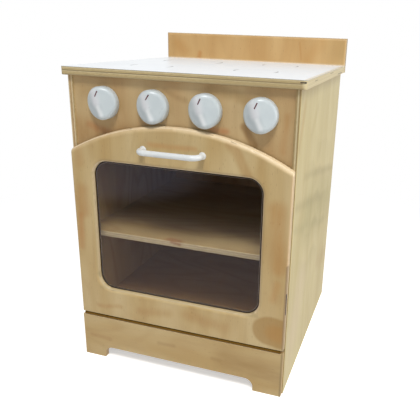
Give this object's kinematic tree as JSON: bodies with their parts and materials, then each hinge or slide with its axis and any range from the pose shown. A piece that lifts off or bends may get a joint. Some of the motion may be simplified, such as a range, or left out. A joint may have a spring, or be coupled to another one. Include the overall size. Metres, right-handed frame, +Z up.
{
  "type": "toy oven",
  "caption": "Child's plywood play stove: laminated hob with backsplash, turning knobs, and a bottom-hung oven door with an arched top and a smoked window.",
  "frame": {"origin": "centre of the footprint on the floor, under the middle of the overall box", "axes": "+Z up, -Y out of the oven door towards the user, +X to the user's right when facing the door"},
  "size_m": [0.474, 0.506, 0.6863],
  "materials": {
    "plywood": "clear satin lacquer on pale pine-faced plywood",
    "batten_pine": "planed pine",
    "white_laminate": "white high-pressure laminate, satin",
    "smoked_acrylic": "smoked brown-grey acrylic sheet, see-through",
    "white_plastic": "moulded white plastic, satin gloss",
    "brown_plastic": "moulded brown plastic",
    "pointer_red": "dark red inlay",
    "hinge_brass": "rolled brass strip, dulled",
    "bright_steel": "zinc-plated steel"
  },
  "bodies": {
    "cabinet": {"left_side_panel": "plywood", "right_side_panel": "plywood", "hob_board": "plywood", "backsplash": "plywood", "control_panel": "plywood", "oven_floor": "plywood", "oven_shelf": "plywood", "back_panel": "plywood", "rear_rail": "plywood", "front_plinth": "plywood", "plinth_blocks": "batten_pine", "hob_battens": "batten_pine", "floor_battens": "batten_pine", "shelf_battens": "batten_pine", "hob_laminate": "white_laminate", "catch_body": "brown_plastic", "hinge_lower_leaf": "hinge_brass", "hinge_pin": "hinge_brass", "hob_batten_screws": "bright_steel", "floor_batten_screws": "bright_steel", "shelf_batten_screws": "bright_steel", "catch_screws": "bright_steel", "catch_magnet": "bright_steel", "hinge_lower_screws": "bright_steel"},
    "oven_door": {"door_panel": "plywood", "window_pane": "smoked_acrylic", "pane_screws": "bright_steel", "hinge_upper_leaf": "hinge_brass", "hinge_upper_screws": "bright_steel", "door_handle": "white_plastic", "handle_screws": "bright_steel", "strike_plate": "bright_steel", "strike_screws": "bright_steel"},
    "knob_set_1": {"knob_1": "white_plastic", "knob_pointer_1": "pointer_red", "knob_spindle_1": "bright_steel", "knob_washer_1": "bright_steel", "knob_locknut_1": "bright_steel"},
    "knob_set_2": {"knob_2": "white_plastic", "knob_pointer_2": "pointer_red", "knob_spindle_2": "bright_steel", "knob_washer_2": "bright_steel", "knob_locknut_2": "bright_steel"},
    "knob_set_3": {"knob_3": "white_plastic", "knob_pointer_3": "pointer_red", "knob_spindle_3": "bright_steel", "knob_washer_3": "bright_steel", "knob_locknut_3": "bright_steel"},
    "knob_set_4": {"knob_4": "white_plastic", "knob_pointer_4": "pointer_red", "knob_spindle_4": "bright_steel", "knob_washer_4": "bright_steel", "knob_locknut_4": "bright_steel"}
  },
  "joints": [
    {"name": "door_hinge", "type": "hinge", "parent": "cabinet", "child": "oven_door", "pos_m": [0, -0.21945, 0.10285], "axis": [1, 0, 0], "range_deg": [0, 90]},
    {"name": "knob_1_turn", "type": "hinge", "parent": "cabinet", "child": "knob_set_1", "pos_m": [-0.15135, -0.2077, 0.5595], "axis": [0, -1, 0], "continuous": true},
    {"name": "knob_2_turn", "type": "hinge", "parent": "cabinet", "child": "knob_set_2", "pos_m": [-0.04805, -0.2077, 0.5595], "axis": [0, -1, 0], "continuous": true},
    {"name": "knob_3_turn", "type": "hinge", "parent": "cabinet", "child": "knob_set_3", "pos_m": [0.05525, -0.2077, 0.5595], "axis": [0, -1, 0], "continuous": true},
    {"name": "knob_4_turn", "type": "hinge", "parent": "cabinet", "child": "knob_set_4", "pos_m": [0.15855, -0.2077, 0.5595], "axis": [0, -1, 0], "continuous": true}
  ]
}
